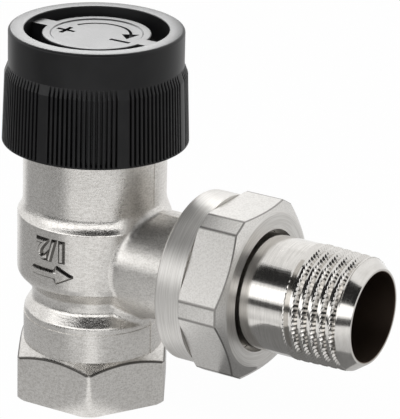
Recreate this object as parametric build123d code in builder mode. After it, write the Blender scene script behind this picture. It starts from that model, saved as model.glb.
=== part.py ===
from build123d import *
import os
from math import radians, tan

# Angled radiator valve with a hand cap, in millimetres.
# The origin is the centre of the inlet face, Z runs up the valve axis and X along the outlet.

# Main layout
outlet_axis_height = 27.5  # inlet face to the outlet axis
outlet_reach = 58.0  # valve axis to the end of the tailpiece
lift = 2.5  # travel of the valve disc from open to its seat

# Clearances
slide_gap = 0.05  # radial, pins and spindles in their guides
thread_gap = 0.1  # radial, screw threads drawn plain at their pitch diameter
seat_gap = 0.1  # between faces that meet when they are tightened
free_gap = 0.5  # room round a piece that moves past another

# Inlet hexagon of the body
hex_flats = 27.0
hex_corners = 30.6
hex_height = 9.9
hex_foot_d = 29.6
hex_chamfer_angle = 30.0
inlet_thread_d = 18.63
inlet_thread_length = 13.5
inlet_mouth_d = 21.2
inlet_passage_d = 16.0

# Body outline, heights taken from the outlet axis
band_d = 25.8
band_drop = 12.2
band_step = 0.12
band_shoulder = 1.1
band_round = 1.5
waist_d = 22.7
waist_drop = 8.7
waist_length = 1.95
waist_round = 2.2
bulge_d = 28.2
bulge_drop = 3.8
bulge_rise = 7.7
bulge_round = 2.0
shoulder_height = 2.8
shoulder_round = 2.5
shoulder_edge_round = 1.5
neck_d = 26.2
neck_length = 12.0
head_thread_d = 29.03
head_thread_length = 8.0
thread_chamfer = 1.0
edge_break = 0.2  # rounding of machined edges
hex_corner_round = 0.8
land_width = 1.4  # strip that the trimmed flash leaves along the parting plane
land_height = 0.12

# Seat, chamber and outlet passage inside the body
throat_d = 11.2
throat_length = 4.7
seat_drop = 4.7
seat_lip_width = 1.4
seat_lip_height = 0.6
chamber_d = 21.2
insert_thread_d = 22.0
insert_thread_length = 10.0
outlet_bore_d = 14.4
branch_d = 20.0
branch_round = 1.8
branch_foot = 0.8
union_thread_d = 25.28
union_thread_length = 7.4
union_cone_d = 18.6
union_cone_angle = 30.0

# Union nut
nut_flats = 30.0
nut_corners = 32.75
nut_length = 14.0
nut_collar_d = 31.2
nut_collar_length = 5.3
nut_collar_round = 0.5
nut_face_d = 28.0
nut_chamfer_angle = 25.0
nut_back_chamfer = 0.4
nut_flange = 3.0
nut_hole_d = 22.4

# Tailpiece
tail_overhang = 21.5  # nut face to the end of the tailpiece
tail_shank_d = 20.8
tail_bore_d = 16.3
tail_collar_d = 23.8
tail_collar_length = 2.5
tail_thread_length = 10.6
tail_thread_end_d = 20.55
tail_thread_taper = 1.0 / 16.0
tail_thread_pitch = 1.814
tail_thread_depth = 1.0
tail_crest_width = 0.5
tail_root_width = 0.24
tail_end_chamfer = 2.3
tail_rim_width = 0.5
nose_bore_d = 12.0
nose_length = 3.0

# Bonnet, the insert that screws into the neck
bonnet_depth = 20.0
bonnet_flange_d = 24.6
bonnet_flange_height = 1.2
bonnet_hex_flats = 20.0
bonnet_hex_height = 1.6
bonnet_ring_section = 1.8
bonnet_ring_height = 6.0
bush_d = 15.0
bush_length = 3.0
spring_bore_d = 13.2
spring_bore_length = 13.0
pin_web = 2.0
gland_d = 9.0

# Pressure pin and its seals
pin_d = 3.0
pin_ring_section = 1.3
gland_washer_thickness = 0.6
gland_hex_flats = 12.0
gland_hex_height = 2.4
gland_recess_depth = 1.6

# Spindle, valve disc and spring
spindle_d = 4.0
spindle_collar_d = 6.4
spindle_collar_length = 1.2
spindle_headroom = 0.5
spindle_end = 0.3
disc_d = 14.4
disc_thickness = 2.4
holder_wall = 1.0
holder_plate = 1.2
holder_skirt = 1.2
disc_nut_flats = 6.0
disc_nut_height = 2.0
circlip_thickness = 0.6
circlip_depth = 0.5
circlip_d = 6.4
circlip_mouth = 2.2
circlip_cover = 0.9
cup_d = 11.6
cup_thickness = 1.0
cup_skirt = 1.0
cup_wall = 0.5
spring_mean_d = 8.8
spring_wire_d = 1.0
spring_turns = 5.5

# Hand cap
cap_overlap = 9.2  # how far the skirt reaches down past the top of the neck
cap_height = 20.9
cap_skirt_d = 33.9
cap_rib_top_d = 33.0
cap_rib_length = 12.7
cap_shoulder = 1.7
cap_ring_d = 31.7
cap_ring_inner_d = 26.0
cap_ring_round = 0.9
cap_groove_depth = 4.7
cap_floor = 1.2
cap_disc_d = 19.7
cap_disc_drop = 0.9
cap_disc_thickness = 2.4
cap_hub_wall = 1.2
cap_dish_d = 16.6
cap_dish_depth = 0.2
cap_tab_width = 3.0
rib_groups = 7
ribs_per_group = 17
ribs_joined = 3  # ribs that run together into the wide rib of each group
rib_groove_share = 0.48
rib_groove_depth = 0.75
wide_rib_angle = -40.1

# Heights on the valve axis
bulge_bottom = outlet_axis_height - bulge_drop
bulge_top = outlet_axis_height + bulge_rise
neck_bottom = bulge_top + shoulder_height
head_thread_bottom = neck_bottom + neck_length
neck_top = head_thread_bottom + head_thread_length
seat_height = outlet_axis_height - seat_drop
chamber_floor = seat_height - seat_lip_height
throat_bottom = chamber_floor - throat_length
bonnet_bottom = neck_top - bonnet_depth
bonnet_flange_top = neck_top + bonnet_flange_height
bonnet_top = bonnet_flange_top + bonnet_hex_height
bush_top = bonnet_bottom + bush_length
spring_roof = bush_top + spring_bore_length
gland_floor = spring_roof + pin_web
washer_bottom = gland_floor + pin_ring_section
washer_top = washer_bottom + gland_washer_thickness
gland_top = bonnet_top + gland_hex_height
spindle_top = spring_roof - spindle_headroom
clip_bottom = spindle_top - circlip_cover - circlip_thickness
cup_bottom = clip_bottom - cup_thickness
disc_bottom = seat_height + lift + seat_gap
holder_bottom = disc_bottom + disc_thickness
holder_top = holder_bottom + holder_plate
nut_bottom = disc_bottom - disc_nut_height
cap_bottom = neck_top - cap_overlap
cap_top = cap_bottom + cap_height
cap_rib_top = cap_bottom + cap_rib_length
cap_groove_floor = cap_top - cap_groove_depth
cap_ceiling = cap_groove_floor - cap_floor
cap_disc_top = cap_top - cap_disc_drop
cap_pad = cap_disc_top - cap_disc_thickness
cap_thread_top = neck_top + lift + free_gap
pin_top = cap_pad - slide_gap

# Places along the outlet
nut_front = outlet_reach - tail_overhang
nut_back = nut_front - nut_length
nut_shelf = nut_front - nut_flange
tail_collar_front = nut_shelf - seat_gap
tail_collar_back = tail_collar_front - tail_collar_length
branch_end = tail_collar_back - seat_gap
union_thread_start = branch_end - union_thread_length
tail_thread_end = outlet_reach - tail_end_chamfer
tail_thread_start = tail_thread_end - tail_thread_length

# Sections through the valve axis, and through the outlet axis
valve_section = Plane.XZ
outlet_section = Plane((0, 0, outlet_axis_height), x_dir=(1, 0, 0), z_dir=(0, -1, 0))
outlet_axis = Axis((0, 0, outlet_axis_height), (1, 0, 0))


def section(plane, *corners):
    """A closed outline, each corner given as two coordinates and an optional rounding."""
    points = [corner[:2] for corner in corners]
    rounds = [corner[2] if len(corner) > 2 else 0 for corner in corners]
    with BuildSketch(plane) as outline:
        with BuildLine():
            FilletPolyline(*points, radius=rounds, close=True)
        make_face()
    return outline.sketch


def turned(*corners, mode=Mode.ADD):
    """Turn an outline of radii and heights round the valve axis."""
    revolve(section(valve_section, *corners), axis=Axis.Z, mode=mode)


def turned_on_outlet(*corners, mode=Mode.ADD):
    """Turn an outline of distances and radii round the outlet axis."""
    revolve(section(outlet_section, *corners), axis=outlet_axis, mode=mode)


def ring(major, minor, height):
    """A seal ring of round section, lying at its middle height."""
    with Locations((0, 0, height)):
        Torus(major, minor)


def export(piece, name):
    """Label a finished piece and write it to its own file."""
    piece.part.label = name
    export_step(piece.part, f"parts/{name}.step")


os.makedirs("parts", exist_ok=True)

# Valve body: one forging, turned and bored
hex_slope = tan(radians(hex_chamfer_angle))
hex_edge = hex_height - (hex_corners - band_d) / 2 * hex_slope
hex_foot = (hex_corners - hex_foot_d) / 2 * hex_slope
band_top = outlet_axis_height - band_drop
waist_bottom = outlet_axis_height - waist_drop
waist_top = waist_bottom + waist_length
head_thread_step = (head_thread_d - neck_d) / 2
body_outline = (
    (0, 0),
    (band_d / 2, 0),
    (band_d / 2, band_top),
    (band_d / 2 - band_step, band_top),
    (band_d / 2 - band_step, band_top + band_shoulder, band_round),
    (waist_d / 2, waist_bottom, waist_round),
    (waist_d / 2, waist_top, waist_round),
    (bulge_d / 2, bulge_bottom, bulge_round),
    (bulge_d / 2, bulge_top, shoulder_edge_round),
    (neck_d / 2, neck_bottom, shoulder_round),
    (neck_d / 2, head_thread_bottom),
    (head_thread_d / 2, head_thread_bottom + head_thread_step),
    (head_thread_d / 2, neck_top - thread_chamfer),
    (head_thread_d / 2 - thread_chamfer, neck_top),
    (0, neck_top),
)
passage_start = throat_d / 2 + seat_lip_width + free_gap
passage_cone = (union_cone_d - outlet_bore_d) / 2 / tan(radians(union_cone_angle))

with BuildPart() as valve_body:
    with BuildSketch(Plane.XY) as hexagon:
        RegularPolygon(hex_flats / 2, 6, major_radius=False)
        fillet(hexagon.vertices(), hex_corner_round)
    extrude(amount=hex_height)
    turned(
        (0, 0),
        (hex_foot_d / 2, 0),
        (hex_corners / 2, hex_foot),
        (hex_corners / 2, hex_edge),
        (band_d / 2, hex_height),
        (0, hex_height),
        mode=Mode.INTERSECT,
    )
    fillet(valve_body.edges().filter_by(Axis.Z, reverse=True), edge_break)
    turned(*body_outline)
    turned_on_outlet(
        (0, 0),
        (0, branch_d / 2),
        (union_thread_start, branch_d / 2, branch_foot),
        (union_thread_start, union_thread_d / 2),
        (branch_end - thread_chamfer, union_thread_d / 2),
        (branch_end, union_thread_d / 2 - thread_chamfer),
        (branch_end, 0),
    )
    root_edges = valve_body.edges(Select.NEW).filter_by(lambda edge: edge.center().X < bulge_d / 2)
    fillet(root_edges, branch_round)
    with BuildSketch(valve_section):
        add(section(Plane.XY, *body_outline))
        mirror(about=Plane.YZ)
        with Locations((union_thread_start / 2, outlet_axis_height)):
            Rectangle(union_thread_start, branch_d)
        offset(amount=land_height)
        with Locations((0, (hex_height + head_thread_bottom) / 2)):
            Rectangle(2 * union_thread_start, head_thread_bottom - hex_height, mode=Mode.INTERSECT)
    extrude(amount=land_width / 2, both=True)
    turned(
        (0, 0),
        (inlet_mouth_d / 2, 0),
        (inlet_thread_d / 2, (inlet_mouth_d - inlet_thread_d) / 2),
        (inlet_thread_d / 2, inlet_thread_length),
        (inlet_passage_d / 2, inlet_thread_length),
        (inlet_passage_d / 2, throat_bottom - (inlet_passage_d - throat_d) / 2),
        (throat_d / 2, throat_bottom),
        (throat_d / 2, seat_height),
        (throat_d / 2 + seat_lip_width, seat_height),
        (throat_d / 2 + seat_lip_width, chamber_floor),
        (chamber_d / 2, chamber_floor),
        (chamber_d / 2, neck_top - insert_thread_length),
        (insert_thread_d / 2, neck_top - insert_thread_length),
        (insert_thread_d / 2, neck_top),
        (0, neck_top),
        mode=Mode.SUBTRACT,
    )
    turned_on_outlet(
        (passage_start, 0),
        (passage_start, outlet_bore_d / 2),
        (branch_end - passage_cone, outlet_bore_d / 2),
        (branch_end, union_cone_d / 2),
        (branch_end, 0),
        mode=Mode.SUBTRACT,
    )
export(valve_body, "valve_body")

# Union nut: a hexagon with trimmed corners on a round collar
nut_hex_back = nut_back + nut_collar_length
nut_front_chamfer = (nut_corners - nut_face_d) / 2 * tan(radians(nut_chamfer_angle))
nut_bore_d = union_thread_d + 2 * thread_gap

with BuildPart() as union_nut:
    with BuildSketch(Plane((nut_hex_back, 0, outlet_axis_height), x_dir=(0, 1, 0), z_dir=(1, 0, 0))):
        RegularPolygon(nut_flats / 2, 6, major_radius=False)
        RegularPolygon(nut_corners / 2, 6, major_radius=False, rotation=30, mode=Mode.INTERSECT)
    extrude(amount=nut_front - nut_hex_back)
    turned_on_outlet(
        (nut_hex_back, 0),
        (nut_hex_back, nut_corners / 2 - nut_back_chamfer),
        (nut_hex_back + nut_back_chamfer, nut_corners / 2 + nut_back_chamfer),
        (nut_front - nut_front_chamfer, nut_corners / 2 + nut_back_chamfer),
        (nut_front, nut_face_d / 2),
        (nut_front, 0),
        mode=Mode.INTERSECT,
    )
    fillet(union_nut.edges(), edge_break)
    turned_on_outlet(
        (nut_back, 0),
        (nut_back, nut_collar_d / 2, nut_collar_round),
        (nut_hex_back, nut_collar_d / 2),
        (nut_hex_back, 0),
    )
    turned_on_outlet(
        (nut_back, 0),
        (nut_back, nut_bore_d / 2 + thread_chamfer),
        (nut_back + thread_chamfer, nut_bore_d / 2),
        (nut_shelf, nut_bore_d / 2),
        (nut_shelf, nut_hole_d / 2),
        (nut_front, nut_hole_d / 2),
        (nut_front, 0),
        mode=Mode.SUBTRACT,
    )
export(union_nut, "union_nut")

# Tailpiece: a turned tube with a collar, a cone to seal and a tapered pipe thread drawn as rings
tail_thread_start_d = tail_thread_end_d + tail_thread_length * tail_thread_taper
thread_step = abs(tail_thread_start_d - tail_shank_d) / 2
thread_turns = int((tail_thread_length - tail_crest_width) / tail_thread_pitch)
thread_flank = (tail_thread_pitch - tail_crest_width - tail_root_width) / 2
thread_tooth = (
    (tail_crest_width, 0),
    (tail_crest_width + thread_flank, tail_thread_depth),
    (tail_thread_pitch - thread_flank, tail_thread_depth),
    (tail_thread_pitch, 0),
)
thread_rings = [
    (
        tail_thread_start + turn * tail_thread_pitch + along,
        (tail_thread_start_d - (turn * tail_thread_pitch + along) * tail_thread_taper) / 2 - depth,
    )
    for turn in range(thread_turns)
    for along, depth in thread_tooth
]
cone_slope = tan(radians(union_cone_angle))
nose_root_d = union_cone_d - 2 * seat_gap
nose_tip = tail_collar_back - nose_length
nose_tip_d = nose_root_d - 2 * nose_length * cone_slope

with BuildPart() as tailpiece:
    turned_on_outlet(
        (nose_tip, nose_bore_d / 2),
        (nose_tip, nose_tip_d / 2),
        (tail_collar_back, nose_root_d / 2),
        (tail_collar_back, tail_collar_d / 2),
        (tail_collar_front, tail_collar_d / 2),
        (tail_collar_front, tail_shank_d / 2),
        (tail_thread_start - thread_step, tail_shank_d / 2),
        (tail_thread_start, tail_thread_start_d / 2),
        *thread_rings,
        (tail_thread_end, tail_thread_end_d / 2),
        (outlet_reach, tail_bore_d / 2 + tail_rim_width),
        (outlet_reach, tail_bore_d / 2),
        (tail_collar_front, tail_bore_d / 2),
        (tail_collar_back, nose_bore_d / 2),
    )
export(tailpiece, "tailpiece")

# Bonnet: screws into the neck and carries the spindle, the spring and the pin seals
ring_groove_bottom = bonnet_bottom + bonnet_ring_height
ring_groove_floor_d = chamber_d - 2 * bonnet_ring_section - 2 * slide_gap
bonnet_d = chamber_d - 2 * slide_gap
bonnet_thread_d = insert_thread_d - 2 * thread_gap
pin_guide_d = pin_d + 2 * slide_gap
pin_ring_pocket_d = pin_d + 2 * pin_ring_section + 2 * slide_gap

with BuildPart() as bonnet:
    turned(
        (0, bonnet_bottom),
        (bonnet_d / 2, bonnet_bottom),
        (bonnet_d / 2, ring_groove_bottom),
        (ring_groove_floor_d / 2, ring_groove_bottom),
        (ring_groove_floor_d / 2, ring_groove_bottom + bonnet_ring_section),
        (bonnet_d / 2, ring_groove_bottom + bonnet_ring_section),
        (bonnet_d / 2, neck_top - insert_thread_length + seat_gap),
        (bonnet_thread_d / 2, neck_top - insert_thread_length + seat_gap),
        (bonnet_thread_d / 2, neck_top),
        (bonnet_flange_d / 2, neck_top),
        (bonnet_flange_d / 2, bonnet_flange_top),
        (0, bonnet_flange_top),
    )
    with BuildSketch(Plane.XY.offset(bonnet_flange_top)):
        RegularPolygon(bonnet_hex_flats / 2, 6, major_radius=False)
    extrude(amount=bonnet_hex_height)
    turned(
        (0, bonnet_bottom),
        (bush_d / 2, bonnet_bottom),
        (bush_d / 2, bush_top),
        (spring_bore_d / 2, bush_top),
        (spring_bore_d / 2, spring_roof),
        (pin_guide_d / 2, spring_roof),
        (pin_guide_d / 2, gland_floor),
        (pin_ring_pocket_d / 2, gland_floor),
        (pin_ring_pocket_d / 2, washer_bottom),
        (gland_d / 2, washer_bottom),
        (gland_d / 2, bonnet_top),
        (0, bonnet_top),
        mode=Mode.SUBTRACT,
    )
export(bonnet, "bonnet")

bonnet_ring_r = bonnet_ring_section / 2
with BuildPart() as bonnet_o_ring:
    ring(ring_groove_floor_d / 2 + bonnet_ring_r, bonnet_ring_r, ring_groove_bottom + bonnet_ring_r)
export(bonnet_o_ring, "bonnet_o_ring")

with BuildPart() as guide_bush:
    turned(
        (spindle_d / 2 + slide_gap, bonnet_bottom),
        (bush_d / 2 - slide_gap, bonnet_bottom),
        (bush_d / 2 - slide_gap, bush_top),
        (spindle_d / 2 + slide_gap, bush_top),
    )
export(guide_bush, "guide_bush")

# Pin seals: inner ring, washer, screw and outer ring
pin_ring_r = pin_ring_section / 2
pin_ring_major = pin_d / 2 + slide_gap + pin_ring_r
recess_floor = gland_top - gland_recess_depth

with BuildPart() as inner_pin_o_ring:
    ring(pin_ring_major, pin_ring_r, gland_floor + pin_ring_r)
export(inner_pin_o_ring, "inner_pin_o_ring")

with BuildPart() as gland_washer:
    turned(
        (pin_guide_d / 2, washer_bottom),
        (gland_d / 2 - slide_gap, washer_bottom),
        (gland_d / 2 - slide_gap, washer_top),
        (pin_guide_d / 2, washer_top),
    )
export(gland_washer, "gland_washer")

with BuildPart() as gland_screw:
    with BuildSketch(Plane.XY.offset(bonnet_top)):
        RegularPolygon(gland_hex_flats / 2, 6, major_radius=False)
    extrude(amount=gland_hex_height)
    turned(
        (0, washer_top),
        (gland_d / 2 - thread_gap, washer_top),
        (gland_d / 2 - thread_gap, bonnet_top),
        (0, bonnet_top),
    )
    turned(
        (0, washer_top),
        (pin_guide_d / 2, washer_top),
        (pin_guide_d / 2, recess_floor),
        (pin_ring_pocket_d / 2, recess_floor),
        (pin_ring_pocket_d / 2, gland_top),
        (0, gland_top),
        mode=Mode.SUBTRACT,
    )
export(gland_screw, "gland_screw")

with BuildPart() as outer_pin_o_ring:
    ring(pin_ring_major, pin_ring_r, recess_floor + pin_ring_r)
export(outer_pin_o_ring, "outer_pin_o_ring")

# Pressure pin: from the top of the spindle to the pad under the cap's disc
with BuildPart() as pressure_pin:
    with Locations((0, 0, spindle_top)):
        Cylinder(pin_d / 2, pin_top - spindle_top, align=(Align.CENTER, Align.CENTER, Align.MIN))
    fillet(pressure_pin.edges().sort_by(Axis.Z)[-1], pin_d / 4)
export(pressure_pin, "pressure_pin")

# Spindle with a collar for the disc holder and a groove for the circlip
groove_d = spindle_d - 2 * circlip_depth
with BuildPart() as spindle:
    turned(
        (0, nut_bottom - spindle_end),
        (spindle_d / 2, nut_bottom - spindle_end),
        (spindle_d / 2, holder_top),
        (spindle_collar_d / 2, holder_top),
        (spindle_collar_d / 2, holder_top + spindle_collar_length),
        (spindle_d / 2, holder_top + spindle_collar_length),
        (spindle_d / 2, clip_bottom),
        (groove_d / 2, clip_bottom),
        (groove_d / 2, clip_bottom + circlip_thickness),
        (spindle_d / 2, clip_bottom + circlip_thickness),
        (spindle_d / 2, spindle_top),
        (0, spindle_top),
    )
export(spindle, "spindle")

with BuildPart() as spindle_circlip:
    with BuildSketch(Plane.XY.offset(clip_bottom)):
        Circle(circlip_d / 2)
        Circle(groove_d / 2 + slide_gap, mode=Mode.SUBTRACT)
        Rectangle(circlip_d, circlip_mouth, align=(Align.MIN, Align.CENTER), mode=Mode.SUBTRACT)
    extrude(amount=circlip_thickness)
export(spindle_circlip, "spindle_circlip")

# Spring cup: hangs from the circlip and takes the top of the spring
with BuildPart() as spring_cup:
    turned(
        (spindle_d / 2 + slide_gap, cup_bottom),
        (cup_d / 2 - cup_wall, cup_bottom),
        (cup_d / 2 - cup_wall, cup_bottom - cup_skirt),
        (cup_d / 2, cup_bottom - cup_skirt),
        (cup_d / 2, cup_bottom + cup_thickness),
        (spindle_d / 2 + slide_gap, cup_bottom + cup_thickness),
    )
export(spring_cup, "spring_cup")

spring_height = cup_bottom - bush_top - spring_wire_d
with BuildPart() as return_spring:
    with BuildLine() as coil:
        Helix(
            spring_height / spring_turns,
            spring_height,
            spring_mean_d / 2,
            center=(0, 0, bush_top + spring_wire_d / 2),
        )
    with BuildSketch(Plane(coil.line @ 0, z_dir=coil.line % 0)):
        Circle(spring_wire_d / 2)
    sweep(is_frenet=True)
export(return_spring, "return_spring")

# Valve disc between its holder and its nut
holder_d = disc_d + 2 * slide_gap + 2 * holder_wall
with BuildPart() as disc_holder:
    turned(
        (spindle_d / 2 + slide_gap, holder_bottom),
        (disc_d / 2 + slide_gap, holder_bottom),
        (disc_d / 2 + slide_gap, holder_bottom - holder_skirt),
        (holder_d / 2, holder_bottom - holder_skirt),
        (holder_d / 2, holder_top),
        (spindle_d / 2 + slide_gap, holder_top),
    )
export(disc_holder, "disc_holder")

with BuildPart() as valve_disc:
    turned(
        (spindle_d / 2 + slide_gap, disc_bottom),
        (disc_d / 2, disc_bottom),
        (disc_d / 2, holder_bottom),
        (spindle_d / 2 + slide_gap, holder_bottom),
    )
export(valve_disc, "valve_disc")

with BuildPart() as disc_nut:
    with BuildSketch(Plane.XY.offset(nut_bottom)):
        RegularPolygon(disc_nut_flats / 2, 6, major_radius=False)
        Circle(spindle_d / 2 + slide_gap, mode=Mode.SUBTRACT)
    extrude(amount=disc_nut_height)
export(disc_nut, "disc_nut")

# Hand cap: one moulding with a top ring, a sunk disc on two tabs and a ribbed skirt
rib_pitch = 360 / (rib_groups * ribs_per_group)
groove_width = rib_groove_share * radians(rib_pitch) * cap_rib_top_d / 2
groove_bottom_r = cap_rib_top_d / 2 - rib_groove_depth
cap_bore_d = head_thread_d + 2 * thread_gap
cap_hub_d = cap_disc_d - 2 * cap_hub_wall
cap_bore_cone = (cap_bore_d - cap_ring_inner_d) / 2

with BuildPart() as hand_cap:
    turned(
        (0, cap_disc_top - cap_dish_depth),
        (cap_dish_d / 2, cap_disc_top - cap_dish_depth),
        (cap_dish_d / 2, cap_disc_top),
        (cap_disc_d / 2, cap_disc_top),
        (cap_disc_d / 2, cap_groove_floor),
        (cap_ring_inner_d / 2, cap_groove_floor),
        (cap_ring_inner_d / 2, cap_top),
        (cap_ring_d / 2, cap_top, cap_ring_round),
        (cap_ring_d / 2, cap_rib_top + cap_shoulder),
        (cap_rib_top_d / 2, cap_rib_top),
        (cap_skirt_d / 2, cap_bottom),
        (cap_bore_d / 2, cap_bottom),
        (cap_bore_d / 2, cap_thread_top),
        (cap_ring_inner_d / 2, cap_thread_top + cap_bore_cone),
        (cap_ring_inner_d / 2, cap_ceiling),
        (cap_hub_d / 2, cap_ceiling),
        (cap_hub_d / 2, cap_pad),
        (0, cap_pad),
    )
    tab_inner = cap_hub_d / 2
    tab_outer = (cap_ring_inner_d + cap_ring_d) / 4
    with BuildSketch(Plane.XY.offset(cap_groove_floor)):
        with PolarLocations((tab_inner + tab_outer) / 2, 2):
            Rectangle(tab_outer - tab_inner, cap_tab_width)
    extrude(amount=cap_disc_top - cap_groove_floor)
    groove_reach = cap_skirt_d - 2 * groove_bottom_r
    with BuildSketch(Plane.XY.offset(cap_bottom)):
        for group in range(rib_groups):
            for step in range(ribs_per_group - ribs_joined + 1):
                turn = group * ribs_per_group + step + ribs_joined / 2
                with PolarLocations(groove_bottom_r, 1, start_angle=wide_rib_angle + turn * rib_pitch):
                    Rectangle(groove_reach, groove_width, align=(Align.MIN, Align.CENTER))
    extrude(amount=cap_rib_length + cap_shoulder, mode=Mode.SUBTRACT)
export(hand_cap, "hand_cap")
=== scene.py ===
"""Dress an angled radiator valve: its finishes, hand cap, pipe thread, flow arrow and a white stage."""

import math
from functools import reduce

import bpy
from mathutils import Matrix, Vector


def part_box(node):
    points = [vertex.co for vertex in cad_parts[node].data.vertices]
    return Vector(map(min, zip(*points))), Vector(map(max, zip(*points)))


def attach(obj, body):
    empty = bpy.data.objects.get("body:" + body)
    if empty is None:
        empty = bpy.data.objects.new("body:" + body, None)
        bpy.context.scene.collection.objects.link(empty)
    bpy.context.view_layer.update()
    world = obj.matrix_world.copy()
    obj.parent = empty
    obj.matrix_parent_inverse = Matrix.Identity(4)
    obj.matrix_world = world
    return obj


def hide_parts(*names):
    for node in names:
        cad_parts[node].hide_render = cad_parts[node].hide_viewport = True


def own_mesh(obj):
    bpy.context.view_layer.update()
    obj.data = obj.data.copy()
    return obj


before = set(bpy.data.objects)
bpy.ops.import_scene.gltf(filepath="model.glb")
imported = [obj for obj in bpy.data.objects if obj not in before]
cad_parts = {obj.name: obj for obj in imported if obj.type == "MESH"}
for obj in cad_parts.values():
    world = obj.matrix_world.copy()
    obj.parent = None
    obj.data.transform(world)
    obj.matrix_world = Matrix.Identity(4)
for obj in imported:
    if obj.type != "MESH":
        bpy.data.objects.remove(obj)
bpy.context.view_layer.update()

bl_info = {
    "name": "Radiator Valve Dressing",
    "version": (1, 0, 0),
    "blender": (4, 5, 0),
    "location": "View3D > Sidebar > Valve",
    "description": "Models the cap, thread and marks of an angled radiator valve and finishes it",
    "category": "Object",
}

# Places that the frame gives
MM = 0.001
CAP_LOW, CAP_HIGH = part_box("hand_cap")
TAIL_LOW, TAIL_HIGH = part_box("tailpiece")
NUT_LOW, NUT_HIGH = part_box("union_nut")
OUTLET_HEIGHT = (TAIL_LOW.z + TAIL_HIGH.z) / 2
CAP_TOP = CAP_HIGH.z
TAIL_END = TAIL_HIGH.x

# Mesh working values
WELD = 1e-6
FULL_TURN = 2 * math.pi
ARC_STEPS = 4
SMOOTH_ANGLE = math.radians(32)


def length(name, description, millimetres):
    """A size that a user may change, in metres with a default in millimetres."""
    return bpy.props.FloatProperty(
        name=name, description=description, default=millimetres * MM, min=0, unit="LENGTH", precision=5
    )


def colour(name, description, default):
    """A colour that a user may change."""
    return bpy.props.FloatVectorProperty(
        name=name, description=description, default=default, size=3, min=0, max=1, subtype="COLOR"
    )


def share(name, description, default):
    """A value from nothing to all that a user may change."""
    return bpy.props.FloatProperty(
        name=name, description=description, default=default, min=0, max=1, subtype="FACTOR"
    )


def level(name, description, default):
    """A brightness that a user may change."""
    return bpy.props.FloatProperty(name=name, description=description, default=default, min=0)


def angle(name, description, degrees):
    """An angle that a user may change, with a default in degrees."""
    return bpy.props.FloatProperty(
        name=name, description=description, default=math.radians(degrees), subtype="ANGLE"
    )


class CapSizes(bpy.types.PropertyGroup):
    """Sizes of the hand cap"""

    skirt_d: length("Skirt", "Diameter over the ribs at the lower edge", (CAP_HIGH.x - CAP_LOW.x) / MM)
    rib_top_d: length("Rib tops", "Diameter over the ribs at their upper end", 33.0)
    rib_drop: length("Rib drop", "From the top of the cap down to the upper end of the ribs", 8.2)
    shoulder: length("Shoulder", "Height of the cone between the ribs and the ring", 1.7)
    ring_d: length("Ring", "Outer diameter of the top ring", 31.7)
    ring_inner_d: length("Ring inside", "Inner diameter of the top ring", 26.0)
    ring_round: length("Ring rounding", "Rounding of the ring's outer edge", 0.5)
    edge_round: length("Edge rounding", "Rounding of the other moulded edges", 0.25)
    moat_depth: length("Moat", "Depth of the groove between ring and disc", 4.7)
    moat_floor: length("Moat floor", "Wall under the groove", 1.2)
    disc_d: length("Disc", "Diameter of the sunk disc", 19.7)
    disc_drop: length("Disc drop", "How far the disc lies below the ring", 0.9)
    disc_thickness: length("Disc thickness", "From the disc's top to the pad that meets the pin", 2.4)
    dish_d: length("Dish", "Diameter of the shallow dish in the disc", 16.6)
    dish_depth: length("Dish depth", "Depth of the shallow dish in the disc", 0.2)
    hub_d: length("Hub", "Diameter of the hollow under the disc", 17.3)
    bore_d: length("Bore", "Diameter of the bore that screws on the neck", 29.23)
    bore_drop: length("Bore drop", "From the top of the cap down to the end of the bore", 8.7)
    tab_width: length("Tab width", "Width of the two tabs that carry the disc", 3.0)
    groove_d: length("Groove bottoms", "Diameter over the bottoms of the grooves between ribs", 31.5)
    lip: length("Lip", "Plain edge below the grooves, and the length of their run-out above it", 0.28)
    rib_ease: length("Rib easing", "How far the edges of the ribs are eased", 0.07)
    wide_rib: angle("Wide rib", "Angle of the first wide rib", -40.1)
    mark_depth: length("Mark depth", "Depth of the turning marks in the dish", 0.9)
    mark_stroke: length("Mark stroke", "Width of the strokes of plus and minus", 0.8)
    plus_size: length("Plus size", "Length of the strokes of plus", 3.7)
    minus_size: length("Minus size", "Length of the stroke of minus", 4.07)
    mark_reach: length("Mark reach", "From the valve axis to the middle of plus and minus", 5.7)
    mark_shift: length("Mark shift", "How far plus and minus lie in front of the axis", 1.3)
    arc_d: length("Arc", "Diameter of the curved arrow between plus and minus", 12.2)
    arc_stroke: length("Arc stroke", "Width of the curved arrow's line", 0.55)
    arc_head: length("Arc head", "Width of the curved arrow's head", 3.2)


class TailSizes(bpy.types.PropertyGroup):
    """Sizes of the tailpiece and its pipe thread"""

    shank_d: length("Shank", "Diameter of the plain shank", 20.8)
    bore_d: length("Bore", "Diameter of the water way", 16.3)
    collar_d: length("Collar", "Diameter of the collar behind the nut", (TAIL_HIGH.y - TAIL_LOW.y) / MM)
    collar_length: length("Collar length", "Length of the collar behind the nut", 2.5)
    nose_length: length("Nose length", "Length of the sealing cone", 3.0)
    nose_root_d: length("Nose root", "Large diameter of the sealing cone", 18.4)
    nose_tip_d: length("Nose tip", "Small diameter of the sealing cone", 14.94)
    nose_bore_d: length("Nose bore", "Diameter of the water way in the nose", 12.0)
    end_chamfer: length("End chamfer", "Length of the chamfer at the end", 2.3)
    rim_width: length("Rim", "Width of the flat rim round the bore", 0.5)
    edge_round: length("Edge rounding", "Rounding of the turned edges", 0.15)
    thread_length: length("Thread length", "Length of the pipe thread", 10.6)
    thread_end_d: length("Thread end", "Diameter over the crests at the end", 20.55)
    thread_pitch: length("Thread pitch", "From one crest to the next", 1.814)
    thread_depth: length("Thread depth", "From crest to root", 1.0)
    crest_width: length("Crest width", "Width of the flat on the crests", 0.5)
    root_width: length("Root width", "Width of the flat in the roots", 0.24)
    notch_depth: length("Notch depth", "Depth of the notches that roughen the crests", 0.45)
    run_out: length("Run-out", "Length over which the thread rises out of the shank", 0.9)


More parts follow.
